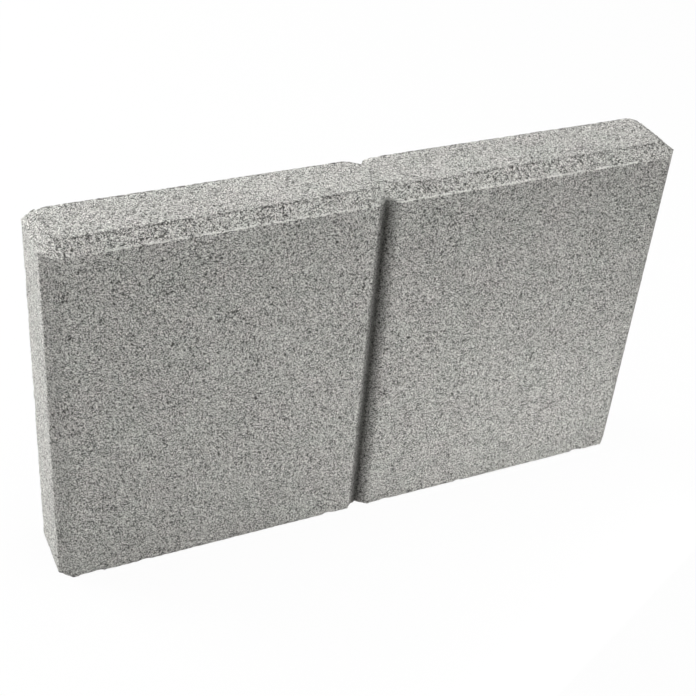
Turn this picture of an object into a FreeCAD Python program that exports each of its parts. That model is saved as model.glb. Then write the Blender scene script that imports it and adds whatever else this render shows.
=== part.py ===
"""Concrete edging stone: an upright slab, cast in one piece, whose vertical arrises are chamfered,
whose top is bevelled all round, and whose two long faces each carry a V-shaped dummy joint."""

import FreeCAD, Part
import Sketcher
import math
import os

# Driving dimensions, in millimetres. X runs along the kerb line, Y through the thickness, Z up.
SIZES = {
    "stone_length": 500.0,
    "stone_thickness": 65.0,
    "stone_height": 300.0,
    "arris_chamfer": 10.0,  # leg of the 45 degree chamfer down each upright corner
    "joint_width": 18.0,  # mouth of the dummy joint, at the long face
    "joint_depth": 7.0,  # from the long face to the meeting point of the flanks
    "joint_lip_radius": 3.0,  # rounding where a flank meets the long face
    "joint_root_radius": 1.5,  # rounding at the bottom of the joint
    "bevel_reach": 11.0,  # how far the bevel's top edge stands in from the face
    "bevel_drop": 7.5,  # height of the bevel
    "bevel_ledge": 1.5,  # flat step at the foot of the bevel, where the tamper shoe stops
}
TOLERANCE = 1e-6

doc = FreeCAD.newDocument("EdgingStone")
sheet = doc.addObject("Spreadsheet::Sheet", "Sizes")
for row, (alias, value) in enumerate(SIZES.items(), start=1):
    sheet.set(f"A{row}", alias)
    sheet.set(f"B{row}", str(value))
    sheet.setAlias(f"B{row}", alias)
doc.recompute()


def plan_sizes(inset):
    """Sizes of the plan outline drawn parallel to the stone's own, inset into the concrete, as
    expressions on the sheet. A 45 degree corner and the joint's flanks keep their slopes."""
    flank = "atan(2 * Sizes.joint_depth / Sizes.joint_width)"
    return {
        "length": f"Sizes.stone_length - 2 * {inset}",
        "thickness": f"Sizes.stone_thickness - 2 * {inset}",
        "corner_x": f"Sizes.arris_chamfer - (2 - sqrt(2)) * {inset}",
        "corner_y": f"Sizes.arris_chamfer - (2 - sqrt(2)) * {inset}",
        "joint_width": f"Sizes.joint_width + 2 * {inset} * tan({flank} / 2)",
        "joint_depth": f"Sizes.joint_depth + {inset} * (1 / cos({flank}) - 1)",
    }


def plan_sketch(body, name, inset, level):
    """A closed plan outline: four chamfered corners and a V at the middle of each long side.
    inset and level are expressions on the sheet."""
    sketch = body.newObject("Sketcher::SketchObject", name)
    base = next(o for o in body.Origin.OriginFeatures if o.Role == "XY_Plane")
    sketch.AttachmentSupport = [(base, "")]
    sketch.MapMode = "FlatFace"
    sketch.setExpression("AttachmentOffset.Base.z", level)

    expressions = plan_sizes(inset)
    guess = {size: float(sketch.evalExpression(text)) for size, text in expressions.items()}
    end, side = guess["length"] / 2, guess["thickness"] / 2
    lip = guess["joint_width"] / 2
    front = [
        (-end, -side + guess["corner_y"]),
        (-end + guess["corner_x"], -side),
        (-lip, -side),
        (0.0, -side + guess["joint_depth"]),
        (lip, -side),
        (end - guess["corner_x"], -side),
        (end, -side + guess["corner_y"]),
    ]
    corners = front + [(x, -y) for x, y in reversed(front)]
    points = [FreeCAD.Vector(x, y, 0) for x, y in corners]
    count, half = len(points), len(front)
    for here, there in zip(points, points[1:] + points[:1]):
        sketch.addGeometry(Part.LineSegment(here, there), False)

    start, finish, origin_x, origin_y = 1, 2, -1, -2
    for line in range(count):
        sketch.addConstraint(Sketcher.Constraint("Coincident", line, finish, (line + 1) % count, start))
    for left in range(half // 2):
        right = half - 1 - left
        sketch.addConstraint(Sketcher.Constraint("Symmetric", left, start, right, start, origin_y))
    sketch.addConstraint(Sketcher.Constraint("PointOnObject", half // 2, start, origin_y))
    for near in range(half):
        far = count - 1 - near
        sketch.addConstraint(Sketcher.Constraint("Symmetric", near, start, far, start, origin_x))
    sketch.addConstraint(Sketcher.Constraint("Horizontal", 1))

    spans = {
        "length": ("DistanceX", 0, half - 1),
        "thickness": ("DistanceY", 1, count - 2),
        "corner_x": ("DistanceX", 0, 1),
        "corner_y": ("DistanceY", 1, 0),
        "joint_width": ("DistanceX", 2, 4),
        "joint_depth": ("DistanceY", 2, 3),
    }
    for size, (kind, low, high) in spans.items():
        index = sketch.addConstraint(Sketcher.Constraint(kind, low, start, high, start, guess[size]))
        sketch.renameConstraint(index, size)
        sketch.setExpression(f"Constraints.{size}", expressions[size])
    sketch.Visibility = False
    return sketch


def upright_edges(shape, places):
    """Names of the upright edges that stand on the given plan points."""
    found = []
    for number, edge in enumerate(shape.Edges, start=1):
        box = edge.BoundBox
        if max(box.XLength, box.YLength) > TOLERANCE:
            continue
        if any(math.hypot(box.XMin - x, box.YMin - y) < TOLERANCE for x, y in places):
            found.append(f"Edge{number}")
    return found


def rounded(body, base, name, places, radius_alias):
    """A fillet on the upright edges at the given plan points."""
    edges = upright_edges(base.Shape, places)
    if len(edges) != len(places):
        raise RuntimeError(f"{name}: found {len(edges)} upright edges for {len(places)} places")
    fillet = body.newObject("PartDesign::Fillet", name)
    fillet.Base = (base, edges)
    fillet.setExpression("Radius", f"Sizes.{radius_alias}")
    doc.recompute()
    return fillet


def edging_stone():
    """The whole stone: the stem as the mould walls leave it, then the bevelled top that the
    tamper shoe presses, then the rounded lips and root of the dummy joints."""
    body = doc.addObject("PartDesign::Body", "EdgingStoneBody")
    body.Label = "edging_stone"

    ground = plan_sketch(body, "MouldOutline", "0", "0")
    stem = body.newObject("PartDesign::Pad", "Stem")
    stem.Profile = ground
    stem.setExpression("Length", "Sizes.stone_height - Sizes.bevel_drop")
    doc.recompute()

    foot_level = "Sizes.stone_height - Sizes.bevel_drop"
    foot = plan_sketch(body, "BevelFoot", "Sizes.bevel_ledge", foot_level)
    crown = plan_sketch(body, "TopOutline", "Sizes.bevel_reach", "Sizes.stone_height")
    bevel = body.newObject("PartDesign::AdditiveLoft", "BevelledTop")
    bevel.Profile = foot
    bevel.Sections = [crown]
    bevel.Ruled = True
    doc.recompute()

    side, lip = SIZES["stone_thickness"] / 2, SIZES["joint_width"] / 2
    root = side - SIZES["joint_depth"]
    lips = [(x, y) for x in (-lip, lip) for y in (-side, side)]
    roots = [(0.0, -root), (0.0, root)]
    softened = rounded(body, bevel, "JointLips", lips, "joint_lip_radius")
    body.Tip = rounded(body, softened, "JointRoots", roots, "joint_root_radius")
    doc.recompute()
    return body


def check(document, parts):
    """Stops before anything is written if a feature failed or a part isn't one valid solid."""
    for item in document.Objects:
        if {"Invalid", "Error"} & set(item.State):
            raise RuntimeError(f"{item.Label} failed: {item.State}")
    for part in parts:
        if part.Shape.isNull() or not part.Shape.isValid() or len(part.Shape.Solids) != 1:
            raise RuntimeError(f"{part.Label} is not one valid solid")


parts = [edging_stone()]
check(doc, parts)
os.makedirs("parts", exist_ok=True)
for part in parts:
    part.Shape.exportStep(f"parts/{part.Label}.step")
    box = part.Shape.BoundBox
    print(f"{part.Label}: {box.XLength:.1f} x {box.YLength:.1f} x {box.ZLength:.1f} mm,"
          f" {part.Shape.Volume / 1e6:.3f} litres")
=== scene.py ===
import math

import bmesh
import bpy
from mathutils import Matrix, Vector, kdtree, noise


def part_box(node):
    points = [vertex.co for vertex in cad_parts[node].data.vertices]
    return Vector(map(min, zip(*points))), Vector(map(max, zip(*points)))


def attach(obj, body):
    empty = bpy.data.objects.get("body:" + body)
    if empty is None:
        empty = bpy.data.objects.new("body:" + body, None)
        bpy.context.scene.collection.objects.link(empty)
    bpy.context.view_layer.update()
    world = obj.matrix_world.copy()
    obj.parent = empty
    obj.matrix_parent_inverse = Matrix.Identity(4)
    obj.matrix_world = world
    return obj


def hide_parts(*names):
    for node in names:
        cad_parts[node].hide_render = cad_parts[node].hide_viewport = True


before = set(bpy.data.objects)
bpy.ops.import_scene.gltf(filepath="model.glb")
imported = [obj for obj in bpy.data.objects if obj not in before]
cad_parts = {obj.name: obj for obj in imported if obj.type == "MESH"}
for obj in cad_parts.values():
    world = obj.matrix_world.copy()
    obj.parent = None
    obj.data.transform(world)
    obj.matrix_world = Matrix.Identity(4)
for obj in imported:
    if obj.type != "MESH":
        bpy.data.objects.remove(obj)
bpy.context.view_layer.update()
stoneLow, stoneHigh = (Vector(corner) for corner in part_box("edging_stone"))
stoneSize = stoneHigh - stoneLow
mm = 0.001
tiny = 1e-6


stone = {
    "cornerChamfer": 10 * mm,     # leg of the chamfer down each upright corner
    "jointWidth": 18 * mm,        # mouth of the dummy joint
    "jointDepth": 7 * mm,
    "bevelReach": 11 * mm,        # from the long face in to the crown's edge
    "bevelDrop": 7.5 * mm,
    "ledgeWidth": 1.5 * mm,       # flat step at the foot of the bevel
    "fineStep": 1.5 * mm,         # mesh spacing near arrises
    "faceStepX": 2.1 * mm,        # mesh spacing on the faces
    "faceStepY": 2.2 * mm,
    "faceStepZ": 2.6 * mm,
    "mergeStep": 0.35 * mm,
}
wear = {
    "arrisReach": 3.2 * mm,       # how far wear spreads from an arris
    "arrisLoss": 0.55 * mm,
    "chipLoss": 2.2 * mm,
    "chipScale": 75,              # cells per metre
    "waveLoss": 0.16 * mm,
    "waveScale": 14,
    "pitLoss": 0.75 * mm,
    "pitScale": 105,
    "pitShare": 0.34,             # share of the cells that hold a pit
    "knocks": [((0, 24, 297), 11, 3.4)],  # place, reach and loss in millimetres
    "ledgeRagged": 0.5 * mm,
    "ledgeScale": 190,
    "raggedScale": 260,
    "chipStart": 0.28,            # noise above this chips an arris
    "chipGain": 2.2,
    "bevelPits": 0.6,             # how much deeper the pits are on the bevel
    "bevelCrumble": 0.35 * mm,
    "crownCrumble": 0.5 * mm,
    "crownReach": 2.3 * mm,
    "ledgeReach": 1.2 * mm,
    "highlightGap": 8.5 * mm,          # bare length of the painted highlight along the ledge at each end
    "highlightFade": 34 * mm,
    "dirtShadeFade": 12 * mm,          # height below the ledge over which the joint's dirt and painted shade grow to full
    "dirtShadeAtLedge": 0.72,
    "dirtShadePowers": (0.55, 1.3),    # how the dirt and painted shade spread over the two flanks of a joint, one flank darker than the other
    "softenAbove": 0.35,          # arris mark from which a vertex is smoothed
    "softenRounds": 2,
}


def slicePlane(bm, axis, place, clear=False):
    # cuts the whole mesh; with clear, the side beyond the plane goes
    normal = Vector((0, 0, 0))
    normal[axis] = 1
    point = normal * place
    geometry = bm.verts[:] + bm.edges[:] + bm.faces[:]
    bmesh.ops.bisect_plane(bm, geom=geometry, dist=tiny, plane_co=point, plane_no=normal, clear_outer=clear)


def sliceBetween(bm, axis, marks):
    # marks are (place, spacing up to the next place)
    for (start, spacing), (stop, _) in zip(marks, marks[1:]):
        count = max(1, round(abs(stop - start) / spacing))
        for step in range(count):
            slicePlane(bm, axis, start + (stop - start) * step / count)


def blankStone():
    # the whole stone with sharp arrises and as few faces as it needs
    bm = bmesh.new()
    stem = stoneSize.z - stone["bevelDrop"]
    place = Matrix.Translation((0, 0, stem / 2)) @ Matrix.Diagonal((stoneSize.x, stoneSize.y, stem, 1))
    bmesh.ops.create_cube(bm, size=1, matrix=place)
    upright = [e for e in bm.edges if abs(e.verts[0].co.z - e.verts[1].co.z) > tiny]
    bmesh.ops.bevel(bm, geom=upright, offset=stone["cornerChamfer"], offset_type="OFFSET", segments=1,
                    profile=0.5, affect="EDGES", material=-1)
    for place in (-stone["jointWidth"] / 2, 0, stone["jointWidth"] / 2):
        slicePlane(bm, 0, place)
    for vert in bm.verts:
        if abs(vert.co.x) < tiny and abs(vert.co.y) > stoneSize.y / 2 - tiny:
            vert.co.y -= math.copysign(stone["jointDepth"], vert.co.y)
    bm.normal_update()
    lid = [f for f in bm.faces if f.normal.z > 0.9]
    crown = bmesh.ops.dissolve_faces(bm, faces=lid)["region"][0]
    bmesh.ops.inset_individual(bm, faces=[crown], thickness=stone["ledgeWidth"], use_even_offset=True)
    slope = stone["bevelReach"] - stone["ledgeWidth"]
    bmesh.ops.inset_individual(bm, faces=[crown], thickness=slope, use_even_offset=True)
    bmesh.ops.translate(bm, verts=crown.verts[:], vec=(0, 0, stone["bevelDrop"]))
    bm.normal_update()
    return bm


def pointsAlong(edges):
    # a search tree of points a millimetre apart along the edges
    places = []
    for edge in edges:
        start, stop = (v.co.copy() for v in edge.verts)
        count = max(1, math.ceil((stop - start).length / mm))
        places += [start.lerp(stop, step / count) for step in range(count + 1)]
    tree = kdtree.KDTree(len(places))
    for number, place in enumerate(places):
        tree.insert(place, number)
    tree.balance()
    return tree


def stoneLines(bm):
    # the arrises, the crown's edge, the ledge and the joints' roots, for wear and colour to follow
    stem, top = stoneSize.z - stone["bevelDrop"], stoneSize.z
    def level(edge, height):
        return all(abs(v.co.z - height) < tiny for v in edge.verts)
    paired = [e for e in bm.edges if len(e.link_faces) == 2]
    folded = [e for e in paired if e.calc_face_angle_signed() > math.radians(12)]
    arrises = [e for e in folded if not level(e, top)]
    crown = [e for e in bm.edges if level(e, top)]
    ledge = [e for e in bm.edges if level(e, stem)]
    return {"arris": pointsAlong(arrises), "crown": pointsAlong(crown), "ledge": pointsAlong(ledge)}


def denseStone(bm):
    # keeps the front left quarter, cuts it finely and mirrors it back into a whole
    half = stoneSize / 2
    stem = stoneSize.z - stone["bevelDrop"]
    fine, faceX, faceY, faceZ = (stone[key] for key in ("fineStep", "faceStepX", "faceStepY", "faceStepZ"))
    slicePlane(bm, 0, 0, clear=True)
    slicePlane(bm, 1, 0, clear=True)
    sliceBetween(bm, 2, [(0.0, fine), (5 * mm, faceZ), (stem - 15 * mm, fine), (stem, fine)])
    sliceBetween(bm, 1, [(-half.y, stone["ledgeWidth"]), (stone["ledgeWidth"] - half.y, fine),
                         (stone["bevelReach"] - half.y, faceY), (0.0, faceY)])
    sliceBetween(bm, 0, [(-half.x, stone["ledgeWidth"]), (stone["ledgeWidth"] - half.x, fine),
                         (stone["bevelReach"] - half.x, faceX), (-stone["jointWidth"] / 2, fine),
                         (0.0, fine)])
    bmesh.ops.remove_doubles(bm, verts=bm.verts[:], dist=stone["mergeStep"])
    for axis in ("X", "Y"):
        geometry = bm.verts[:] + bm.edges[:] + bm.faces[:]
        bmesh.ops.mirror(bm, geom=geometry, matrix=Matrix.Identity(4), merge_dist=0.01 * mm, axis=axis)
    bmesh.ops.remove_doubles(bm, verts=bm.verts[:], dist=0.01 * mm)
    bmesh.ops.recalc_face_normals(bm, faces=bm.faces[:])
    return bm


def nearness(distance, reach):
    # 1 on the line, 0 from reach on, smooth between
    share = max(0.0, 1 - distance / reach)
    return share * share * (3 - 2 * share)


def pitDepth(place):
    # round pits, each in its own cell, in a share of the cells
    distances, centres = noise.voronoi(place * wear["pitScale"])
    lot = noise.cell(centres[0] * 7.3)
    if abs(lot) > wear["pitShare"]:
        return 0.0
    return nearness(distances[0], 0.24 + 0.3 * abs(lot))


# marks for wear, and for painted light and shade in the material
wearAndLightMarks = ("arris", "crownEdge", "ledge", "ledgeHighlight", "bevel", "joint", "endFace", "endSlope")


def weatherStone(bm, lines):
    # rounds the arrises, then takes concrete away along them and in pits; nothing is ever added outside
    stem = stoneSize.z - stone["bevelDrop"]
    layers = {key: bm.verts.layers.float.new(key) for key in wearAndLightMarks}
    jointReach = stone["jointWidth"] / 2
    for vert in bm.verts:
        place = vert.co
        vert[layers["arris"]] = nearness(lines["arris"].find(place)[2], wear["arrisReach"])
        vert[layers["crownEdge"]] = nearness(lines["crown"].find(place)[2], wear["crownReach"])
        vert[layers["ledge"]] = nearness(lines["ledge"].find(place)[2], wear["ledgeReach"])
        # the ledge, faded out towards the ends, carries a painted highlight in the material
        pastGap = stoneSize.x / 2 - abs(place.x) - wear["highlightGap"]
        fromEnd = min(1.0, max(0.0, pastGap / wear["highlightFade"]))
        vert[layers["ledgeHighlight"]] = vert[layers["ledge"]] * fromEnd
        # end faces and end slopes, for painted light on the end faces and painted shade on the end slopes
        atEnd = abs(place.x) > stoneSize.x / 2 - tiny and place.z < stem + tiny
        vert[layers["endFace"]] = 1.0 if atEnd else 0.0
        onSlope = stem - tiny < place.z < stoneSize.z - tiny
        nearEnd = stoneSize.x / 2 - abs(place.x) < stoneSize.y / 2 - abs(place.y)
        vert[layers["bevel"]] = 1.0 if onSlope and not nearEnd else 0.0
        vert[layers["endSlope"]] = 1.0 if onSlope and nearEnd else 0.0
        # joint mark: dirt and painted shade, darker deeper in the joint
        depth = stoneSize.y / 2 - abs(place.y)
        inJoint = abs(place.x) < jointReach and place.z < stem + tiny and place.z > 0
        share = min(1.0, max(0.0, depth / stone["jointDepth"])) if inJoint else 0.0
        underTop = min(1.0, max(0.0, (stem - place.z) / wear["dirtShadeFade"]))
        power = wear["dirtShadePowers"][0 if place.x * place.y > 0 else 1]
        dirtShadeAmount = wear["dirtShadeAtLedge"] + (1 - wear["dirtShadeAtLedge"]) * underTop
        vert[layers["joint"]] = share ** power * dirtShadeAmount
    crisp = stone["jointWidth"] / 2 + 2 * mm
    soft = [v for v in bm.verts
            if v[layers["arris"]] > wear["softenAbove"] and v[layers["ledge"]] < 0.2 and abs(v.co.x) > crisp]
    for _ in range(wear["softenRounds"]):
        bmesh.ops.smooth_vert(bm, verts=soft, factor=0.5, use_axis_x=True, use_axis_y=True, use_axis_z=True)
    bm.normal_update()
    moves = []
    for vert in bm.verts:
        place = vert.co
        arris, ledge, bevel = (vert[layers[key]] for key in ("arris", "ledge", "bevel"))
        ragged = noise.fractal(place * wear["raggedScale"], 1.0, 2.0, 3)
        chip = max(0.0, noise.noise(place * wear["chipScale"]) - wear["chipStart"]) * wear["chipGain"]
        loss = wear["waveLoss"] * (0.5 + 0.5 * noise.noise(place * wear["waveScale"]))
        loss += arris * (wear["arrisLoss"] * abs(ragged) + wear["chipLoss"] * chip)
        loss += pitDepth(place) * wear["pitLoss"] * (1 + wear["bevelPits"] * bevel)
        for centre, reach, knocked in wear["knocks"]:
            loss += nearness((place - Vector(centre) * mm).length, reach * mm) * knocked * mm
        crumble = bevel * wear["bevelCrumble"] + vert[layers["crownEdge"]] * wear["crownCrumble"]
        loss += crumble * abs(ragged)
        move = -vert.normal * loss
        move.z += ledge * wear["ledgeRagged"] * noise.noise(place * wear["ledgeScale"])
        moves.append(move)
    for vert, move in zip(bm.verts, moves):
        vert.co += move
    for vert in bm.verts:
        vert.co.x = min(max(vert.co.x, stoneLow.x), stoneHigh.x)
        vert.co.y = min(max(vert.co.y, stoneLow.y), stoneHigh.y)
        vert.co.z = min(max(vert.co.z, stoneLow.z), stoneHigh.z)


def makeStone():
    bm = blankStone()
    lines = stoneLines(bm)
    denseStone(bm)
    print("stone cut into", len(bm.faces), "faces")
    weatherStone(bm, lines)
    for face in bm.faces:
        face.smooth = True
    mesh = bpy.data.meshes.new("castStone")
    bm.to_mesh(mesh)
    bm.free()
    piece = bpy.data.objects.new("castStone", mesh)
    bpy.context.collection.objects.link(piece)
    return piece


concrete = {
    "darkPaste": (0.035, 0.034, 0.031, 1),
    "palePaste": (0.82, 0.82, 0.795, 1),
    "greenTint": (0.955, 1.0, 0.95, 1),
    "pinkTint": (1.04, 0.978, 0.985, 1),
    # colour of the dirt and painted shade in the joints
    "jointDirtShade": (0.10, 0.098, 0.09, 1),
    "lightness": 0.55,            # place of plain concrete between the two pastes
    "grainScale": 2200,           # sand grains per metre
    "grainContrast": 2.6,
    "pasteScale": 3600,
    "pasteContrast": 1.0,
    "cloudScale": 16,
    "cloudContrast": 0.07,
    # pits: cells per metre, size in cells, share of the cells, raggedness of the rim
    "pores": (680.0, 0.62, 0.20, 0.3),
    "holes": (320.0, 0.46, 0.10, 0.35),
    "cracks": (130.0, 0.20, 0.16, 0.35),
    "pebbles": (400.0, 0.48, 0.08, 0.3),
    "crumbs": (290.0, 0.52, 0.34, 0.45),  # on the bevel only
    "glints": (380.0, 0.50, 0.24, 0.35),  # on the bevel only
    "crackStretch": (0.34, 0.8, 1.5),
    "hueScale": 38.0,
    "brokenScale": 75.0,          # patches that break up the painted highlight along the ledge
    "crownScale": 210.0,          # patches that break up the dark line at the crown's edge
    "crownPatches": (0.38, 0.58),
    # how far each darkens or lightens the concrete
    # pits are painted dark: painted shade inside pores, holes, cracks and bevel crumbs
    "pitShade": 1.0,
    "crackDepth": 0.4,
    "pebbleGain": 0.55,
    "glintGain": 0.9,
    # painted highlight along the ledge
    "highlightGain": 1.0,
    "bevelGain": 0.04,
    # painted shade on the bevel slopes at the ends, painted light on the end faces
    "endSlopeShade": -0.10,
    "endFaceLight": 0.17,
    "crownGain": -0.8,
    "bevelContrast": 0.35,        # more grain on the bevel, and less in the painted highlight along the ledge
    "highlightContrast": -0.7,
    "highlightPower": 2.4,
    "dirtShadeGain": 1.06,
    "dirtShadeMost": 0.94,
    "roughness": 0.93,
    "grainHeight": 0.55,
    "bumpHeight": 0.55 * mm,
}


def addNode(tree, kind, settings=None, **inputs):
    # a node with its settings, and its inputs linked or set by socket name or number
    node = tree.nodes.new("ShaderNode" + kind)
    for name, value in (settings or {}).items():
        setattr(node, name, value)
    for name, value in inputs.items():
        socket = node.inputs[int(name[1:]) if name[0] == "n" and name[1:].isdigit() else name]
        if isinstance(value, bpy.types.NodeSocket):
            tree.links.new(value, socket)
        else:
            socket.default_value = value
    return node


def calculate(tree, operation, first, second=0.0, third=0.0):
    return addNode(tree, "Math", {"operation": operation}, n0=first, n1=second, n2=third).outputs[0]


def newGroup(name, inputs, outputs):
    group = bpy.data.node_groups.new(name, "ShaderNodeTree")
    for label, kind, value in inputs:
        socket = group.interface.new_socket(name=label, in_out="INPUT", socket_type="NodeSocket" + kind)
        if value is not None:
            socket.default_value = value
    for label, kind in outputs:
        group.interface.new_socket(name=label, in_out="OUTPUT", socket_type="NodeSocket" + kind)
    return group, group.nodes.new("NodeGroupInput"), group.nodes.new("NodeGroupOutput")


def makePitGroup():
    # ragged round pits in a share of the cells: 1 in a pit, 0 outside
    group, given, result = newGroup(
        "pits", [("Vector", "Vector", None), ("Scale", "Float", 100.0), ("Size", "Float", 0.3),
                 ("Share", "Float", 0.3), ("Ragged", "Float", 0.2)], [("Mask", "Float")])
    cells = addNode(group, "TexVoronoi", Vector=given.outputs["Vector"], Scale=given.outputs["Scale"])
    lots = addNode(group, "SeparateColor", Color=cells.outputs["Color"])
    chosen = calculate(group, "LESS_THAN", lots.outputs["Red"], given.outputs["Share"])
    finer = calculate(group, "MULTIPLY", given.outputs["Scale"], 3.7)
    frayed = addNode(group, "TexNoise", Vector=given.outputs["Vector"], Scale=finer, Detail=2.0)
    fray = calculate(group, "SUBTRACT", frayed.outputs[0], 0.5)
    fray = calculate(group, "MULTIPLY", fray, given.outputs["Ragged"])
    reach = calculate(group, "MULTIPLY_ADD", lots.outputs["Green"], 0.6, 0.5)
    reach = calculate(group, "MULTIPLY", reach, given.outputs["Size"])
    distance = calculate(group, "ADD", cells.outputs["Distance"], fray)
    inner = calculate(group, "MULTIPLY", reach, 0.55)
    edge = addNode(group, "MapRange", {"interpolation_type": "SMOOTHSTEP"}, Value=distance)
    group.links.new(inner, edge.inputs["From Min"])
    group.links.new(reach, edge.inputs["From Max"])
    edge.inputs["To Min"].default_value = 1.0
    edge.inputs["To Max"].default_value = 0.0
    group.links.new(calculate(group, "MULTIPLY", edge.outputs[0], chosen), result.inputs["Mask"])
    return group


def makeGrainGroup():
    # sand grains of mixed lightness in paste, about 0
    group, given, result = newGroup(
        "sandGrain", [("Vector", "Vector", None), ("Grain Scale", "Float", 600.0),
                      ("Grain Contrast", "Float", 0.5), ("Paste Scale", "Float", 900.0),
                      ("Paste Contrast", "Float", 0.5)], [("Value", "Float")])
    cells = addNode(group, "TexVoronoi", Vector=given.outputs["Vector"], Scale=given.outputs["Grain Scale"])
    lots = addNode(group, "SeparateColor", Color=cells.outputs["Color"])
    grains = calculate(group, "MULTIPLY", calculate(group, "SUBTRACT", lots.outputs["Red"], 0.5),
                       given.outputs["Grain Contrast"])
    cloud = addNode(group, "TexNoise", Vector=given.outputs["Vector"],
                    Scale=given.outputs["Paste Scale"], Detail=1.0)
    paste = calculate(group, "MULTIPLY", calculate(group, "SUBTRACT", cloud.outputs[0], 0.5),
                      given.outputs["Paste Contrast"])
    group.links.new(calculate(group, "ADD", grains, paste), result.inputs["Value"])
    return group


def placeGroup(tree, group, **inputs):
    node = tree.nodes.new("ShaderNodeGroup")
    node.node_tree = group
    for name, value in inputs.items():
        socket = node.inputs[name.replace("_", " ")]
        if isinstance(value, bpy.types.NodeSocket):
            tree.links.new(value, socket)
        else:
            socket.default_value = value
    return node.outputs[0]


def placePits(tree, group, place, kind):
    scale, size, share, ragged = concrete[kind]
    return placeGroup(tree, group, Vector=place, Scale=scale, Size=size, Share=share, Ragged=ragged)


def makeConcrete():
    material = bpy.data.materials.new("castConcrete")
    material.use_nodes = True
    tree = material.node_tree
    shader = tree.nodes["Principled BSDF"]
    place = addNode(tree, "TexCoord").outputs["Object"]
    along = addNode(tree, "Mapping", Vector=place, Scale=concrete["crackStretch"]).outputs[0]
    pits = makePitGroup()
    marks = {}
    for name in ("crownEdge", "ledgeHighlight", "bevel", "joint", "endFace", "endSlope"):
        marks[name] = addNode(tree, "Attribute", {"attribute_name": name}).outputs["Fac"]

    grain = placeGroup(tree, makeGrainGroup(), Vector=place, Grain_Scale=concrete["grainScale"],
                       Grain_Contrast=concrete["grainContrast"], Paste_Scale=concrete["pasteScale"],
                       Paste_Contrast=concrete["pasteContrast"])
    pores = placePits(tree, pits, place, "pores")
    crumbs = placePits(tree, pits, place, "crumbs")
    glints = placePits(tree, pits, place, "glints")
    holes = placePits(tree, pits, place, "holes")
    cracks = placePits(tree, pits, along, "cracks")
    pebbles = placePits(tree, pits, place, "pebbles")
    clouds = addNode(tree, "TexNoise", Vector=place, Scale=float(concrete["cloudScale"]), Detail=5.0,
                     Roughness=0.6).outputs[0]
    hue = addNode(tree, "TexNoise", Vector=place, Scale=concrete["hueScale"], Detail=3.0).outputs["Color"]

    strength = calculate(tree, "MULTIPLY_ADD", marks["bevel"], concrete["bevelContrast"], 1.0)
    broken = addNode(tree, "TexNoise", Vector=place, Scale=concrete["brokenScale"], Detail=4.0,
                     Roughness=0.7).outputs[0]
    broken = calculate(tree, "MULTIPLY_ADD", broken, 2.8, -0.5)
    broken = addNode(tree, "Clamp", Value=broken).outputs[0]
    # painted highlight: the ledge is lightened where its flat step would catch the light
    highlight = calculate(tree, "POWER", marks["ledgeHighlight"], concrete["highlightPower"])
    highlight = calculate(tree, "MULTIPLY", highlight, broken)
    strength = calculate(tree, "MULTIPLY_ADD", highlight, concrete["highlightContrast"], strength)
    value = calculate(tree, "MULTIPLY_ADD", grain, strength, concrete["lightness"])
    clouds = calculate(tree, "SUBTRACT", clouds, 0.5)
    value = calculate(tree, "MULTIPLY_ADD", clouds, concrete["cloudContrast"] * 4, value)
    cracks = calculate(tree, "MULTIPLY", cracks, concrete["crackDepth"])
    depth = calculate(tree, "MAXIMUM", calculate(tree, "MAXIMUM", pores, holes), cracks)
    depth = calculate(tree, "MAXIMUM", depth, calculate(tree, "MULTIPLY", crumbs, marks["bevel"]))
    glints = calculate(tree, "MULTIPLY", glints, marks["bevel"])
    patchy = addNode(tree, "TexNoise", Vector=place, Scale=concrete["crownScale"], Detail=2.0).outputs[0]
    patches = addNode(tree, "MapRange", Value=patchy)
    patches.inputs["From Min"].default_value = concrete["crownPatches"][0]
    patches.inputs["From Max"].default_value = concrete["crownPatches"][1]
    crown = calculate(tree, "MULTIPLY", marks["crownEdge"], patches.outputs[0])
    # pits darkened as painted shade
    changes = [(depth, -concrete["pitShade"]), (pebbles, concrete["pebbleGain"]),
               (glints, concrete["glintGain"]), (highlight, concrete["highlightGain"]),
               (marks["bevel"], concrete["bevelGain"]), (marks["endSlope"], concrete["endSlopeShade"]),
               (marks["endFace"], concrete["endFaceLight"]), (crown, concrete["crownGain"])]
    for mask, gain in changes:
        value = calculate(tree, "MULTIPLY_ADD", mask, gain, value)
    value = addNode(tree, "Clamp", Value=value).outputs[0]
    color = addNode(tree, "MixRGB", Fac=value, Color1=concrete["darkPaste"],
                    Color2=concrete["palePaste"]).outputs[0]
    tint = addNode(tree, "MixRGB", Fac=hue, Color1=concrete["greenTint"],
                   Color2=concrete["pinkTint"]).outputs[0]
    color = addNode(tree, "MixRGB", {"blend_type": "MULTIPLY"}, Fac=1.0, Color1=color,
                    Color2=tint).outputs[0]
    # joints: dirt and painted shade, darker with depth
    dirtAndShade = calculate(tree, "MULTIPLY", marks["joint"], concrete["dirtShadeGain"])
    dirtAndShade = calculate(tree, "MINIMUM", dirtAndShade, concrete["dirtShadeMost"])
    color = addNode(tree, "MixRGB", {"blend_type": "MULTIPLY"}, Fac=dirtAndShade, Color1=color,
                    Color2=concrete["jointDirtShade"]).outputs[0]

    height = calculate(tree, "MULTIPLY_ADD", grain, concrete["grainHeight"], 0.5)
    height = calculate(tree, "SUBTRACT", height, depth)
    bump = addNode(tree, "Bump", Strength=1.0, Distance=concrete["bumpHeight"], Height=height)
    tree.links.new(color, shader.inputs["Base Color"])
    tree.links.new(bump.outputs[0], shader.inputs["Normal"])
    shader.inputs["Roughness"].default_value = concrete["roughness"]
    return material


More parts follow.
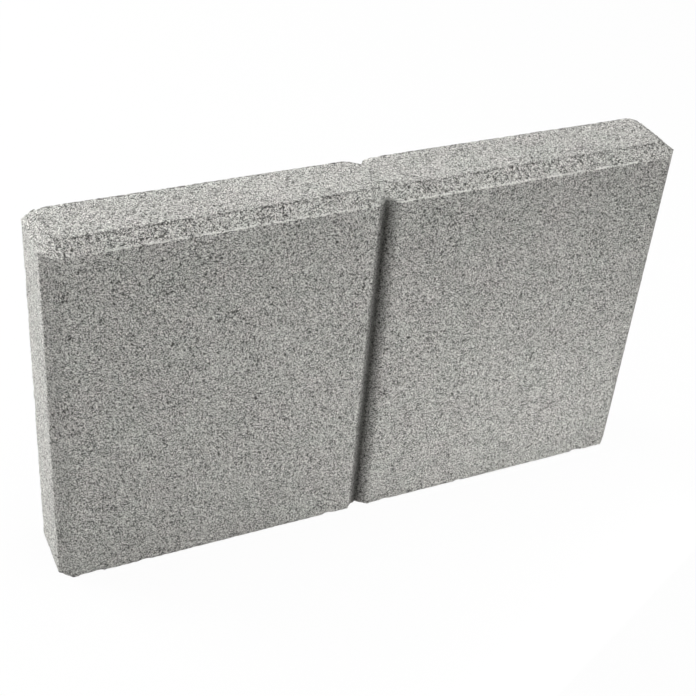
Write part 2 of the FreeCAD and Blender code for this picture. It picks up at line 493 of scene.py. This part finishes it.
studio = {
    "floorSize": 12.0,
    "floorColor": (0.70, 0.70, 0.695, 1),
    "whiteShare": 0.95,           # how much of what the camera sees of the floor is plain white
    "skyStrength": 0.44,
    # towards the lamp, distance, width and height in metres, watts
    "keyLamp": ((-0.66, 0.66, 0.24), 2.6, 1.3, 1.3, 84),
    "fillLamp": ((0.40, -0.83, -0.39), 0.30, 0.40, 0.06, 0.34),
    "topLamp": ((0.12, -0.12, 0.98), 2.0, 1.4, 1.4, 32),
}
cameraSetup = {
    "target": (-0.0070, -0.0011, 0.1442),
    "azimuth": 27.57,             # degrees from the +Y direction towards +X
    "elevation": 36.55,
    "roll": 5.58,
    "distance": 1.0935,
    "lens": 72.05,
}


def makeFloor():
    bm = bmesh.new()
    bmesh.ops.create_grid(bm, x_segments=1, y_segments=1, size=studio["floorSize"] / 2)
    mesh = bpy.data.meshes.new("floor")
    bm.to_mesh(mesh)
    bm.free()
    floor = bpy.data.objects.new("floor", mesh)
    floor.location.z = stoneLow.z - 0.1 * mm
    bpy.context.collection.objects.link(floor)
    material = bpy.data.materials.new("paleFloor")
    material.use_nodes = True
    nodes, links = material.node_tree.nodes, material.node_tree.links
    shader = nodes["Principled BSDF"]
    shader.inputs["Base Color"].default_value = studio["floorColor"]
    shader.inputs["Roughness"].default_value = 0.9
    white = nodes.new("ShaderNodeEmission")
    rays = nodes.new("ShaderNodeLightPath")
    share = nodes.new("ShaderNodeMath")
    share.operation = "MULTIPLY"
    share.inputs[1].default_value = studio["whiteShare"]
    mix = nodes.new("ShaderNodeMixShader")
    links.new(rays.outputs["Is Camera Ray"], share.inputs[0])
    links.new(share.outputs[0], mix.inputs["Fac"])
    links.new(shader.outputs[0], mix.inputs[1])
    links.new(white.outputs[0], mix.inputs[2])
    links.new(mix.outputs[0], nodes["Material Output"].inputs["Surface"])
    mesh.materials.append(material)


def makeLamp(name):
    # an area lamp that faces the middle of the stone and that the camera doesn't see
    direction, distance, width, height, power = studio[name]
    light = bpy.data.lights.new(name, "AREA")
    light.shape = "RECTANGLE"
    light.size = width
    light.size_y = height
    light.energy = power
    lamp = bpy.data.objects.new(name, light)
    aim = Vector(direction).normalized()
    lamp.location = aim * distance + Vector((0, 0, stoneSize.z / 2))
    lamp.rotation_euler = aim.to_track_quat("Z", "Y").to_euler()
    lamp.visible_camera = False
    bpy.context.collection.objects.link(lamp)


def makeWorld():
    world = bpy.data.worlds.new("softRoom")
    world.use_nodes = True
    tree = world.node_tree
    background = tree.nodes["Background"]
    background.inputs["Color"].default_value = (1, 1, 1, 1)
    rays = addNode(tree, "LightPath")
    toWhite = 1 - studio["skyStrength"]
    strength = calculate(tree, "MULTIPLY_ADD", rays.outputs["Is Camera Ray"], toWhite,
                         studio["skyStrength"])
    tree.links.new(strength, background.inputs["Strength"])
    bpy.context.scene.world = world


def makeCamera():
    camera = bpy.data.cameras.new("camera")
    camera.sensor_width = 36
    camera.lens = cameraSetup["lens"]
    holder = bpy.data.objects.new("camera", camera)
    azimuth, elevation, roll = (math.radians(cameraSetup[key]) for key in ("azimuth", "elevation", "roll"))
    look = Vector((math.sin(azimuth) * math.cos(elevation), math.cos(azimuth) * math.cos(elevation),
                   -math.sin(elevation)))
    turn = look.to_track_quat("-Z", "Y").to_matrix().to_4x4() @ Matrix.Rotation(roll, 4, "Z")
    place = Vector(cameraSetup["target"]) - look * cameraSetup["distance"]
    holder.matrix_world = Matrix.Translation(place) @ turn
    bpy.context.collection.objects.link(holder)
    bpy.context.scene.camera = holder


stonePiece = makeStone()
stonePiece.data.materials.append(makeConcrete())
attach(stonePiece, "root")
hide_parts("edging_stone")
print("stone done")
makeFloor()
for name in ("keyLamp", "fillLamp", "topLamp"):
    makeLamp(name)
makeWorld()
makeCamera()
bpy.context.scene.view_settings.view_transform = "Standard"
print("studio done")
